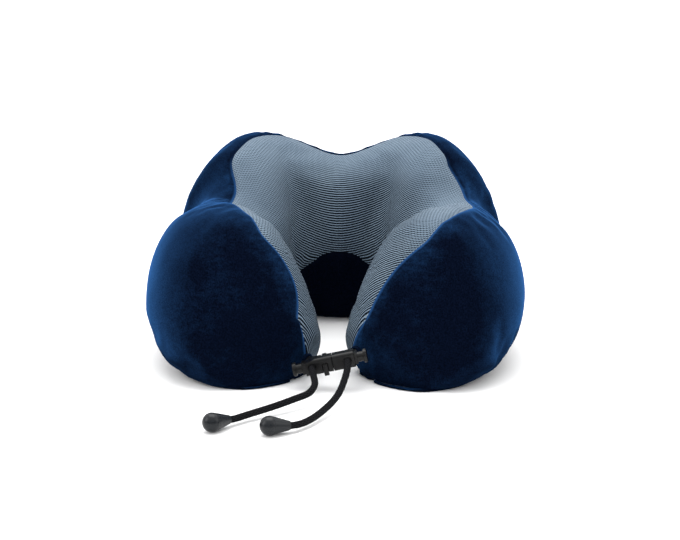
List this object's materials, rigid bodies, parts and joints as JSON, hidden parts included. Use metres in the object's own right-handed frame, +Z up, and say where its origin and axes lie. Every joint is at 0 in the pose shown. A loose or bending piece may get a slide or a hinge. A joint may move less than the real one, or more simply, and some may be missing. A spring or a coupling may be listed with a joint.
{
  "type": "u-shaped neck pillow",
  "caption": "U-shaped travel neck pillow: foam ring in a velour and mesh cover, joined at the front by a small clasp on braided cords with bell ends.",
  "frame": {"origin": "on the floor under the middle of the pillow's own box, measured without the cords", "axes": "+X to the right seen from the open front, +Y towards the closed back, +Z up"},
  "size_m": [0.2892, 0.3567, 0.1502],
  "materials": {
    "velour": "matte",
    "mesh": "matte",
    "base_fabric": "matte",
    "foam": "matte",
    "zip_tape": "matte",
    "zip_teeth": "satin",
    "zip_metal": "satin",
    "clasp_plastic": "satin",
    "bell_plastic": "satin",
    "cord": "matte",
    "spring_steel": "satin"
  },
  "bodies": {
    "back": {"foam_back": "foam", "velour_back": "velour", "velour_skirt": "velour", "mesh_back": "mesh", "inner_velour_back": "velour", "base_back": "base_fabric", "zip_tape_upper": "zip_tape", "zip_tape_lower": "zip_tape", "zip_teeth_upper": "zip_teeth", "zip_teeth_lower": "zip_teeth", "zip_stop_left": "zip_metal", "zip_stop_right": "zip_metal"},
    "left_arm": {"foam_left": "foam", "velour_left": "velour", "mesh_left": "mesh", "inner_velour_left": "velour", "base_left": "base_fabric", "clasp_socket": "clasp_plastic", "lock_spring_left": "spring_steel", "cord_sleeve_left": "cord", "cord_left": "cord", "cord_knot_left": "cord", "bell_cone_left": "bell_plastic", "bell_cap_left": "bell_plastic"},
    "right_arm": {"foam_right": "foam", "velour_right": "velour", "mesh_right": "mesh", "inner_velour_right": "velour", "base_right": "base_fabric", "clasp_plug": "clasp_plastic", "lock_spring_right": "spring_steel", "cord_sleeve_right": "cord", "cord_right": "cord", "cord_knot_right": "cord", "bell_cone_right": "bell_plastic", "bell_cap_right": "bell_plastic"},
    "front_prong": {"release_prong_front": "clasp_plastic"},
    "back_prong": {"release_prong_back": "clasp_plastic"},
    "left_lock": {"lock_button_left": "clasp_plastic"},
    "right_lock": {"lock_button_right": "clasp_plastic"},
    "zip_slider": {"zip_slider": "zip_metal"},
    "zip_pull": {"zip_pull": "zip_metal"}
  },
  "joints": [
    {"name": "right_arm_open", "type": "hinge", "parent": "back", "child": "right_arm", "pos_m": [0.131, 0.078, 0.06], "axis": [0, 0, 1], "range_deg": [0, 14], "stiffness_Nm_per_rad": 1.5},
    {"name": "left_arm_open", "type": "hinge", "parent": "back", "child": "left_arm", "pos_m": [-0.131, 0.078, 0.06], "axis": [0, 0, -1], "range_deg": [0, 14], "stiffness_Nm_per_rad": 1.5},
    {"name": "front_prong_squeeze", "type": "hinge", "parent": "right_arm", "child": "front_prong", "pos_m": [0.0015, -0.1253, 0.0205], "axis": [0.2164, 0, -0.9763], "range_deg": [0, 9], "stiffness_Nm_per_rad": 0.02, "springref_deg": -2.86},
    {"name": "back_prong_squeeze", "type": "hinge", "parent": "right_arm", "child": "back_prong", "pos_m": [0.0015, -0.1187, 0.0205], "axis": [-0.2164, 0, 0.9763], "range_deg": [0, 9], "stiffness_Nm_per_rad": 0.02, "springref_deg": -2.86},
    {"name": "left_lock_press", "type": "slide", "parent": "left_arm", "child": "left_lock", "axis": [0.9763, 0, 0.2164], "range_m": [0, 0.002], "stiffness_N_per_m": 300, "springref_m": -0.001, "deforming": ["lock_spring_left"]},
    {"name": "right_lock_press", "type": "slide", "parent": "right_arm", "child": "right_lock", "axis": [-0.9763, 0, -0.2164], "range_m": [0, 0.002], "stiffness_N_per_m": 300, "springref_m": -0.001, "deforming": ["lock_spring_right"]},
    {"name": "zip_slide", "type": "hinge", "parent": "back", "child": "zip_slider", "pos_m": [0, -0.1754, 0.02], "axis": [0, 0, -1], "range_deg": [0, 24]},
    {"name": "zip_pull_swing", "type": "hinge", "parent": "zip_slider", "child": "zip_pull", "pos_m": [-0.06546, 0.12679, 0.02], "axis": [0, 0, -1], "range_deg": [0, 165]}
  ],
  "couplings": [
    {"joint": "left_arm_open", "follows": "right_arm_open", "ratio": 1},
    {"joint": "back_prong_squeeze", "follows": "front_prong_squeeze", "ratio": 1}
  ]
}
